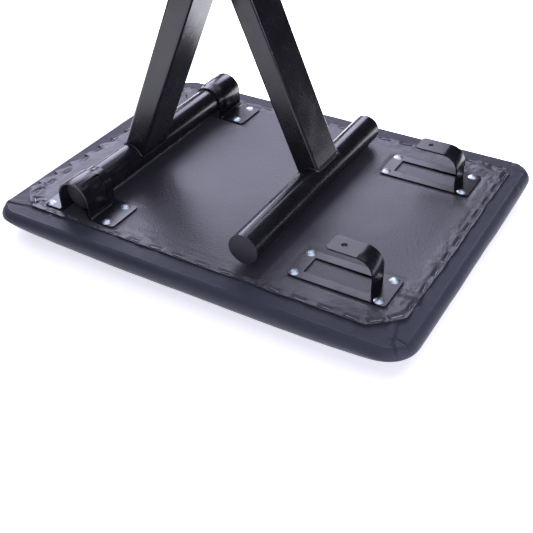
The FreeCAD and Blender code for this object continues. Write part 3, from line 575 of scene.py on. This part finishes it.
def staple_pull(x, y):
    """1 where a staple holds the sheet down, falling to 0 a few millimetres away."""
    share = 0.0
    for middle, heading in STAPLES:
        long, wide = from_staple(x, y, middle, heading)
        past_end = max(0.0, long - 0.7 * CROWN_HALF)
        share = max(share, bump_at(past_end, 0, 3 * MM) * bump_at(wide, 0, 2 * MM))
    return share


def nearest_staple(x, y, width):
    """1 beside a staple, falling to 0 along the edge."""
    return max(bump_at(math.hypot(x - middle.x, y - middle.y), 0, width) for middle, _ in STAPLES)


def staple_pocket(x, y):
    """Depth of the dent that a staple's crown presses into the sheet, with a low rim round it."""
    depth = 0.0
    for middle, heading in STAPLES:
        long, wide = from_staple(x, y, middle, heading)
        if long > POCKET_FAR_ALONG or wide > POCKET_FAR_ACROSS:
            continue
        gap = max(long - CROWN_HALF, wide - 1.2 * MM)
        depth = max(depth, 1 - smooth(0, 1.6 * MM, gap))
        depth -= 0.5 * bump_at(gap, 2.6 * MM, 1.2 * MM)
    return depth


def ring_round(maker, centre, axis, cross_axis, radius, sides):
    """A ring of vertices in the plane of two unit axes."""
    turns = (2 * math.pi * k / sides for k in range(sides))
    return [maker.verts.new(centre + (axis * math.cos(t) + cross_axis * math.sin(t)) * radius) for t in turns]


def wire_path(maker, points, radius, sides=8):
    """A closed round wire along a few points, with its ends capped."""
    rings = []
    for i, point in enumerate(points):
        ahead = points[min(i + 1, len(points) - 1)] - points[max(i - 1, 0)]
        across = ahead.cross(Vector((0.31, 0.74, 0.6))).normalized()
        beside = ahead.cross(across).normalized()
        rings.append(ring_round(maker, point, across, beside, radius, sides))
    for first, second in zip(rings, rings[1:]):
        bridge(maker, first, second)
    maker.faces.new(list(reversed(rings[0])))
    maker.faces.new(rings[-1])


def make_staples(surface_z):
    """Staples shot by hand: each a little turned, shifted and sunk at one end."""
    chance = random.Random(4)
    shoulder = 0.7 * MM
    leg = 4 * MM
    maker = bmesh.new()
    for middle, heading in STAPLES:
        turn = math.atan2(heading.y, heading.x) + math.radians(chance.uniform(-9, 9))
        shift = Vector((chance.uniform(-1, 1), chance.uniform(-1, 1), 0)) * 0.8 * MM
        tip = chance.uniform(-0.25, 0.25) * MM
        way = Vector((math.cos(turn), math.sin(turn), 0))
        centre = Vector((middle.x, middle.y, surface_z(middle.x, middle.y) + 0.9 * WIRE)) + shift
        path = []
        for end in (-1, 1):
            corner = centre + way * (end * CROWN_HALF) + Vector((0, 0, end * tip))
            bend = [corner + Vector((0, 0, -leg)), corner + Vector((0, 0, -shoulder)),
                    corner - way * (end * 0.3 * shoulder) - Vector((0, 0, 0.3 * shoulder)),
                    corner - way * (end * shoulder)]
            path += bend if end < 0 else bend[::-1]
        wire_path(maker, path, WIRE)
    bmesh.ops.recalc_face_normals(maker, faces=maker.faces)
    piece = finish_piece(maker, "sheet_staples", "staple_steel")
    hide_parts("dust_cover_staples")


# ---------------------------------------------------------------- dust cover
HEM = 10 * MM
DUST_CORNER = 10 * MM
ROLL = 0.4 * MM  # radius of the turned-under edge
LIFT_CAP = 2.6 * MM  # the sheet never stands higher than this over the cover
SHEET_FOOT = COVER_TOP + 0.05 * MM  # height of the hem's lower face
PRESSED_FLAT = COVER_TOP + 0.3 * MM  # height of the sheet's upper face under a screwed plate
PLY = 0.45 * MM  # thickness of one ply of the hem

# the cloth that is let settle between the staples
CLOTH_STEP = 3.2 * MM
CLOTH_SPARE = 4 * MM
HELD = 0.45  # a point of the cloth is pinned where the staples' or plates' hold is above this
LAST_STEP = 26

# the left edge was cut in scallops
SCALLOP_PITCH = 20.5 * MM
SCALLOP_DEPTH = 6.5 * MM

# where loose cloth is bunched at the corners: x, y, width, amount
BUNCHES = ((0.182, -0.118, 0.022, 1.0), (0.178, 0.125, 0.02, 1.0), (-0.190, -0.124, 0.016, 1.4),
           (-0.188, 0.128, 0.02, 1.0))

# where the sheet is creased: start, stop, height, reach (raised on the line's left)
SHEET_FOLDS = [
    ((0.1740, -0.0925), (0.1950, -0.0925), 1.5 * MM, 12 * MM),
    ((0.1960, -0.0310), (0.1800, -0.0360), 0.9 * MM, 9 * MM),
    ((0.1560, 0.1330), (0.1900, 0.1120), 1.4 * MM, 9 * MM),
    ((0.1900, 0.1250), (0.1600, 0.1290), 1.2 * MM, 8 * MM),
    ((-0.1960, -0.1080), (-0.1860, -0.1370), 1.3 * MM, 7 * MM),
    ((-0.1800, -0.1330), (-0.1980, -0.1130), 1.1 * MM, 6 * MM),
]


def under_plates(x, y):
    """1 under a screwed plate, falling to 0 a few millimetres from it."""
    share = 0.0
    for low, high in PLATES:
        gap = max(low.x - x, x - high.x, low.y - y, y - high.y)
        share = max(share, 1 - smooth(0.3 * MM, 5 * MM, gap))
    return share


def slack_cloth(half_x, half_y, count_x, count_y):
    """A flat grid of cloth, rippled a little where it is free, with its pins and its slack marked."""
    maker = bmesh.new()
    grid = [[maker.verts.new(((2 * i / count_x - 1) * half_x, (2 * j / count_y - 1) * half_y, 0.3 * MM))
             for i in range(count_x + 1)] for j in range(count_y + 1)]
    for j in range(count_y):
        for i in range(count_x):
            maker.faces.new((grid[j][i], grid[j][i + 1], grid[j + 1][i + 1], grid[j + 1][i]))
    mesh = bpy.data.meshes.new("slack_sheet")
    maker.to_mesh(mesh)
    maker.free()
    sheet = bpy.data.objects.new("slack_sheet", mesh)
    bpy.context.scene.collection.objects.link(sheet)
    pins = sheet.vertex_groups.new(name="pins")
    slack = sheet.vertex_groups.new(name="slack")
    for vertex in mesh.vertices:
        x, y, _ = vertex.co
        held = max(staple_pull(x, y), under_plates(x, y))
        pins.add([vertex.index], 1.0 if held > HELD else 0.0, "REPLACE")
        edge = min(half_x - abs(x), half_y - abs(y))
        slack.add([vertex.index], 1 - smooth(14 * MM, 42 * MM, edge), "REPLACE")
        vertex.co.z += abs(ripple((x, y, 0), 9 * MM, 11.0)) * 0.8 * MM * (held < HELD)
    return sheet


def cloth_ground():
    """The plane that the cloth settles on."""
    reach = 0.4
    mesh = bpy.data.meshes.new("sheet_ground")
    mesh.from_pydata([(x * reach, y * reach, 0) for x, y in ((-1, -1), (1, -1), (1, 1), (-1, 1))], [],
                     [(0, 1, 2, 3)])
    ground = bpy.data.objects.new("sheet_ground", mesh)
    bpy.context.scene.collection.objects.link(ground)
    ground.modifiers.new("collide", "COLLISION")
    ground.collision.thickness_outer = 0.1 * MM
    return ground


def simulated_sheet():
    """Slack sheet settling between its staples; returns a function that gives its height over (x, y)."""
    half_x, half_y = DUST_HIGH.x + CLOTH_SPARE, DUST_HIGH.y + CLOTH_SPARE
    count_x, count_y = round(2 * half_x / CLOTH_STEP), round(2 * half_y / CLOTH_STEP)
    sheet = slack_cloth(half_x, half_y, count_x, count_y)
    ground = cloth_ground()
    cloth = sheet.modifiers.new("cloth", "CLOTH")
    cloth.settings.quality = 5
    cloth.settings.mass = 0.25
    cloth.settings.tension_stiffness = cloth.settings.compression_stiffness = 18
    cloth.settings.shear_stiffness = 8
    cloth.settings.bending_stiffness = 0.08
    cloth.settings.vertex_group_mass = "pins"
    cloth.settings.vertex_group_shrink = "slack"
    cloth.settings.shrink_min = 0.0
    cloth.settings.shrink_max = -0.022
    cloth.collision_settings.distance_min = 0.2 * MM
    cloth.collision_settings.collision_quality = 3
    cloth.point_cache.frame_end = LAST_STEP
    for now in range(1, LAST_STEP + 1):
        bpy.context.scene.frame_set(now)
    settled = sheet.evaluated_get(bpy.context.evaluated_depsgraph_get()).to_mesh()
    heights = [max(0.0, min(LIFT_CAP, vertex.co.z - 0.1 * MM)) for vertex in settled.vertices]
    bpy.context.scene.frame_set(1)
    bpy.data.objects.remove(sheet)
    bpy.data.objects.remove(ground)

    def height(x, y):
        """Height between the four nearest points of the settled grid."""
        u = min(max((x / half_x + 1) / 2 * count_x, 0), count_x - 1e-6)
        v = min(max((y / half_y + 1) / 2 * count_y, 0), count_y - 1e-6)
        i, j = int(u), int(v)
        u, v = u - i, v - j
        row = j * (count_x + 1) + i
        low = heights[row] * (1 - u) + heights[row + 1] * u
        high = heights[row + count_x + 1] * (1 - u) + heights[row + count_x + 2] * u
        return low * (1 - v) + high * v

    return height


def edge_wander(x, y):
    """How far the hand-cut edge strays outward from the even outline."""
    stray = ripple((x, y, 0), 34 * MM, 6.0) * 1.2 * MM + ripple((x, y, 0), 7 * MM, 7.0) * 0.5 * MM
    stray -= 0.6 * MM * nearest_staple(x, y, 6 * MM)
    if x < -DUST_HIGH.x + 12 * MM:
        saw = smooth(0.1, 0.95, (y / SCALLOP_PITCH) % 1.0)
        between_corners = smooth(-132 * MM, -115 * MM, y) * (1 - smooth(120 * MM, 150 * MM, y))
        stray += (0.5 - saw) * SCALLOP_DEPTH * between_corners
        stray += 8 * MM * bump_at(y, -112 * MM, 60 * MM) - 3 * MM * bump_at(y, 15 * MM, 40 * MM)
    return stray


def dust_spot(station, out_by):
    """Where a point of the sheet lies on the underside; past a cut corner it is folded almost flush."""
    half_x, half_y = DUST_HIGH.x, DUST_HIGH.y
    base, _ = outline_at(station, half_x, half_y, DUST_CORNER)
    spot, out = outline_at(station, half_x + out_by, half_y + out_by, DUST_CORNER + out_by)
    spot = spot + out * (edge_wander(base.x, base.y) * smooth(-30 * MM, -3 * MM, out_by))
    for point, way in CORNER_CUTS:
        spot = spot - way * (0.92 * max(0.0, (spot - point).dot(way)))
    return spot


def sheet_surface(x, y, edge_share):
    """Height of the sheet's upper face over the board; edge_share is 1 at the hem and 0 inside."""
    free = 1 - under_plates(x, y)
    held = staple_pull(x, y)
    bunched = sum(amount * bump_at(x, at_x, width) * bump_at(y, at_y, width)
                  for at_x, at_y, width, amount in BUNCHES)
    wrinkle = abs(ripple((x + 0.6 * y, 0.35 * y, 0), 13 * MM, 12.0)) * 2.4 * MM * bunched
    crinkle = (1 - abs(ripple((x, y, 0), 8 * MM, 15.0))) ** 9 * 1.1 * MM * bunched
    fine = abs(ripple((x, y, 0), 4.5 * MM, 9.0)) * 0.25 * MM * edge_share
    broad = max(0.0, ripple((x, y, 0), 60 * MM, 10.0)) * 0.6 * MM
    frayed = smooth(0.6, 1, edge_share) * (y < 0) * bump_at(x, -0.14, 0.03)
    frayed *= abs(ripple((0.25 * x, y, 0), 1.6 * MM, 14.0)) * 1.8 * MM
    folded = sum(fold(x, y, *line) for line in SHEET_FOLDS)
    slack = 0.1 + 0.1 * edge_share
    rise = SHEET_HEIGHT(x, y) * slack + wrinkle + crinkle + fine + broad + frayed + folded
    dent = (0.5 if x > -0.17 else 0.3) * MM * staple_pocket(x, y)
    pressed = min(LIFT_CAP, rise + PLY) * (1 - 0.6 * held) - dent
    return PRESSED_FLAT + free * max(0.0, pressed)


def dust_point(station, row):
    """A point of the dust cover; the turned-under ply lifts the sheet's edge."""
    out_by, lift = row
    out_by = max(out_by, -DUST_HIGH.y)
    spot = dust_spot(station, out_by)
    if lift < 0:
        return Vector((spot.x, spot.y, SHEET_FOOT))
    edge_share = smooth(-26 * MM, -6 * MM, out_by)
    top = sheet_surface(spot.x, spot.y, edge_share)
    free = 1 - 0.85 * under_plates(spot.x, spot.y)
    z = SHEET_FOOT + (top - SHEET_FOOT) * min(1.0, lift) + PLY * lift * free * edge_share
    return Vector((spot.x, spot.y, z))


def dust_rows():
    """Section of the dust cover: turned-under hem, rolled edge, and the sheet to its middle.

    A row is (distance out from the even outline, share of the sheet's height); below 0 it lies flat.
    """
    rows = [(-HEM, -1), (-HEM / 2, -1), (-1 * MM, -1)]
    for i in range(1, 7):
        turn = math.radians(-90 + 30 * i)
        rows.append((-ROLL + ROLL * math.cos(turn), (1 + math.sin(turn)) / 2))
    rows += [(-(0.8 + 0.9 * i) * MM, 1) for i in range(14)]
    rows += [(-(13.5 + 1.6 * i) * MM, 1) for i in range(12)]
    return rows + [(-(33 + 3.0 * i) * MM, 1) for i in range(37)]


def make_dust_cover():
    """The stapled sheet over the underside, with its edges turned under."""
    stations = around(DUST_HIGH.x, DUST_HIGH.y, DUST_CORNER, 1.8 * MM, 1.0 * MM)
    piece = finish_piece(loft(stations, dust_rows(), dust_point), "backing_sheet", "dust_cloth")
    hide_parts("dust_cover")


SHEET_HEIGHT = simulated_sheet()
make_cover()
make_foam()
make_dust_cover()
make_staples(lambda x, y: sheet_surface(x, y, 1.0) + PLY)


# ---------------------------------------------------------------- weld beads
BAR_RADIUS = (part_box("bar_b")[1].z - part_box("bar_b")[0].z) / 2
LEG_DEPTH = 22.5 * MM  # across the tube; the leaning leg's box doesn't give it
LEG_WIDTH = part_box("leg_a_tube")[1].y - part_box("leg_a_tube")[0].y
LEG_CORNER = 2.5 * MM
BEAD_RADIUS = 1.7 * MM
BEAD_SIDES = 10
DROP_PITCH = 2.3 * MM
SPECKS = 9


def middle_of(node):
    """Middle of a CAD node's box."""
    low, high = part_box(node)
    return (low + high) / 2


def leg_axes(letter):
    """A leg's two bar axes at the leg's own side, and the direction from the crossbar to the foot bar."""
    side_y = middle_of("leg_%s_tube" % letter).y
    top, foot = middle_of("bar_" + letter), middle_of("foot_bar_" + letter)
    top.y = foot.y = side_y
    return top, foot, (foot - top).normalized()


def weld_loop(start, along, stations):
    """Line where the leg's rounded section meets a bar, as points and their outward directions."""
    across, width = Vector((along.z, 0, -along.x)), Vector((0, 1, 0))
    loop = []
    for station in stations:
        spot, out = outline_at(station, LEG_DEPTH / 2, LEG_WIDTH / 2, LEG_CORNER)
        rise = math.sqrt(BAR_RADIUS ** 2 - min(abs(spot.x), LEG_DEPTH / 2) ** 2)
        foot_out = (across * out.x + width * out.y) * 0.8 + along * 0.6
        loop.append((start + across * spot.x + width * spot.y + along * rise, foot_out.normalized()))
    return loop


def make_bead(maker, loop, chance):
    """A rippled bead round a closed line: overlapping drops of weld metal."""
    count = len(loop)
    run = 0.0
    rings = []
    for i, (point, out) in enumerate(loop):
        ahead = (loop[(i + 1) % count][0] - loop[i - 1][0]).normalized()
        run += (loop[(i + 1) % count][0] - point).length
        drop = (run / DROP_PITCH) % 1.0
        girth = 0.75 + 0.25 * smooth(-0.9, 0.2, out.y)
        radius = girth * BEAD_RADIUS * (0.86 + 0.3 * math.sin(math.pi * drop) + chance.uniform(-0.08, 0.08))
        beside = ahead.cross(out).normalized()
        centre = point + out * (0.25 * BEAD_RADIUS)
        rings.append(ring_round(maker, centre, out, beside, radius, BEAD_SIDES))
    for i in range(count):
        bridge(maker, rings[i], rings[(i + 1) % count])


def add_spatter(maker, loop, chance):
    """A few specks of weld metal stuck beside the bead."""
    for _ in range(SPECKS):
        point, out = chance.choice(loop)
        spot = point + out * 0.5 * MM + Vector((0, chance.uniform(-5, 5) * MM, 0))
        speck = bmesh.ops.create_icosphere(maker, subdivisions=1, radius=chance.uniform(0.35, 0.7) * MM)
        for vertex in speck["verts"]:
            vertex.co = spot + vertex.co * chance.uniform(0.8, 1.15)


def make_welds(letter):
    """A bead and its spatter at each end of a leg."""
    chance = random.Random(ord(letter))
    top, foot, along = leg_axes(letter)
    stations = around(LEG_DEPTH / 2, LEG_WIDTH / 2, LEG_CORNER, 0.55 * MM, 0.5 * MM)
    maker = bmesh.new()
    for start, way in ((top, along), (foot, -along)):
        loop = weld_loop(start, way, stations)
        make_bead(maker, loop, chance)
        add_spatter(maker, loop, chance)
    bmesh.ops.recalc_face_normals(maker, faces=maker.faces)
    piece = finish_piece(maker, "weld_beads_" + letter, "black_paint", "leg_" + letter)
    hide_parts("welds_" + letter)


for leg_letter in "ab":
    make_welds(leg_letter)


# ---------------------------------------------------------------- hard parts: rounded edges
SHARP = math.radians(40)
# radius of each part's edges, in millimetres
EDGE_ROUND = {"clamp_near": 0.3, "clamp_far": 0.3, "hook_near": 0.3, "hook_far": 0.3, "bar_b_plugs": 0.9,
              "bar_a_caps": 0.7, "bar_a": 0.25, "pivot_bolt": 0.3, "pivot_nut": 0.3, "pivot_washer_near": 0.2,
              "pivot_washer_far": 0.2, "pivot_spacer": 0.4, "bar_saddle_near": 0.4, "bar_saddle_far": 0.4}
for name, radius in EDGE_ROUND.items():
    part = frame["nodes"][name]
    weld = part.modifiers.new("weld", "WELD")
    weld.merge_threshold = 0.01 * MM
    rounding = part.modifiers.new("edge_round", "BEVEL")
    rounding.width = radius * MM
    rounding.segments = 2
    rounding.limit_method = "ANGLE"
    rounding.angle_limit = SHARP
    rounding.harden_normals = False


# ---------------------------------------------------------------- floor, light and camera
LIGHT_TINT = (0.78, 0.77, 1.0)
FLOOR_RADIUS = 0.85
FLOOR_DROP = 0.3 * MM  # the floor lies just under the seat face
# middle of the painted pool of light on the floor
HOT_SPOT = (-0.05, 0.34, 0)
CAMERA_AT = (0.3720, -0.6142, 0.4848)
CAMERA_AIM = (0.0619, -0.1108, 0.0300)
CAMERA_ROLL = math.radians(1.56)


def distance_from(tree, place, centre, scale):
    """Distance of a point from a centre, with each axis scaled."""
    shift = add(tree, "Mapping")
    shift.inputs["Scale"].default_value = scale
    shift.inputs["Location"].default_value = [-c * k for c, k in zip(centre, scale)]
    tree.links.new(place, shift.inputs["Vector"])
    reach = add(tree, "VectorMath", operation="LENGTH")
    tree.links.new(shift.outputs["Vector"], reach.inputs[0])
    return reach.outputs["Value"]


def make_floor():
    """A pale round floor that glows: its glow is painted dimmer close to the object as painted shade, with a
    painted pool of light at its back and a painted glow on the right that lights the cover's side.
    """
    maker = bmesh.new()
    bmesh.ops.create_circle(maker, cap_ends=True, radius=FLOOR_RADIUS, segments=96)
    mesh = bpy.data.meshes.new("floor")
    maker.to_mesh(mesh)
    maker.free()
    made, tree, surface, place = shader("floor_white", Roughness=0.9, Specular_IOR_Level=0.1,
                                        Emission_Color=(0.97, 0.97, 1.0, 1))
    tint = noise_at(tree, place, 3, 2)
    # the glow is painted dimmer close to the object: painted contact shade round it
    away = spread(tree, distance_from(tree, place, (0, 0, 0), (0.76, 1, 1)), 0.56, 1.45, 0.20, 0.42)
    # a painted pool of light on the floor at the object's back
    painted_light_pool = spread(tree, distance_from(tree, place, HOT_SPOT, (0.8, 1.3, 1)), 2.0, 0.0, 0.12, 0.34)
    axes = add(tree, "SeparateXYZ")
    tree.links.new(place, axes.inputs["Vector"])
    # a painted glow on the right of the floor, which lights the cover's right side
    beside = spread(tree, axes.outputs["X"], 0.0, 0.7, 0.2, 0.28)
    total = away
    for share in (painted_light_pool, beside):
        glow = add(tree, "Math", operation="ADD")
        tree.links.new(total, glow.inputs[0])
        tree.links.new(share, glow.inputs[1])
        total = glow.outputs["Value"]
    # the floor glows by this painted emission, though it is no lamp
    tree.links.new(total, surface.inputs["Emission Strength"])
    tree.links.new(ramp(tree, tint, (0.3, (0.93, 0.93, 0.935)), (0.7, (0.95, 0.95, 0.955))),
                   surface.inputs["Base Color"])
    mesh.materials.append(made)
    floor = bpy.data.objects.new("floor", mesh)
    floor.location.z = -FLOOR_DROP
    bpy.context.scene.collection.objects.link(floor)


def area_light(name, at, aim, size, radiance):
    """A soft panel of even brightness that faces aim; the camera doesn't see it."""
    light = bpy.data.lights.new(name, "AREA")
    light.shape = "RECTANGLE"
    light.size, light.size_y = size
    light.energy = radiance * math.pi * size[0] * size[1]
    light.color = LIGHT_TINT
    holder = bpy.data.objects.new(name, light)
    holder.visible_camera = False
    holder.location = at
    holder.rotation_mode = "QUATERNION"
    holder.rotation_quaternion = (Vector(aim) - Vector(at)).to_track_quat("-Z", "Y")
    bpy.context.scene.collection.objects.link(holder)


def make_world(strength):
    """White to the camera, and much dimmer to everything else, so that dark paint stays dark."""
    world = bpy.data.worlds.new("studio")
    world.use_nodes = True
    tree = world.node_tree
    dim = tree.nodes["Background"]
    dim.inputs["Color"].default_value = (0.8, 0.82, 1.0, 1)
    dim.inputs["Strength"].default_value = strength
    backdrop = tree.nodes.new("ShaderNodeBackground")
    backdrop.inputs["Color"].default_value = (1, 1, 1, 1)
    backdrop.inputs["Strength"].default_value = 1.05
    ray = tree.nodes.new("ShaderNodeLightPath")
    either = tree.nodes.new("ShaderNodeMixShader")
    tree.links.new(ray.outputs["Is Camera Ray"], either.inputs["Fac"])
    tree.links.new(dim.outputs["Background"], either.inputs[1])
    tree.links.new(backdrop.outputs["Background"], either.inputs[2])
    tree.links.new(either.outputs["Shader"], tree.nodes["World Output"].inputs["Surface"])
    bpy.context.scene.world = world


def make_camera():
    """A three-quarter view from above the hooks' near corner."""
    view = bpy.data.cameras.new("camera")
    view.lens = 59.2
    view.sensor_width = 36.0
    view.dof.use_dof = False
    holder = bpy.data.objects.new("camera", view)
    holder.location = CAMERA_AT
    aim = Vector(CAMERA_AIM) - holder.location
    tilt = Quaternion((0, 0, -1), CAMERA_ROLL)
    holder.rotation_mode = "QUATERNION"
    holder.rotation_quaternion = aim.to_track_quat("-Z", "Y") @ tilt
    bpy.context.scene.collection.objects.link(holder)
    bpy.context.scene.camera = holder


make_floor()
make_world(0.03)
area_light("left_softbox", (-1.32, 0.99, 1.08), (0, 0, 0.05), (0.76, 1.35), 7.5)
area_light("back_softbox", (-0.645, 1.52, 1.08), (0, 0, 0.05), (0.60, 1.35), 5.6)
area_light("front_right_lamp", (1.58, -1.24, 0.95), (0, 0, 0.1), (0.5, 0.5), 32.0)
area_light("overhead_softbox", (0, 0, 2.4), (0, 0, 0), (3.0, 3.0), 1.5)
make_camera()
bpy.context.scene.view_settings.view_transform = "Standard"
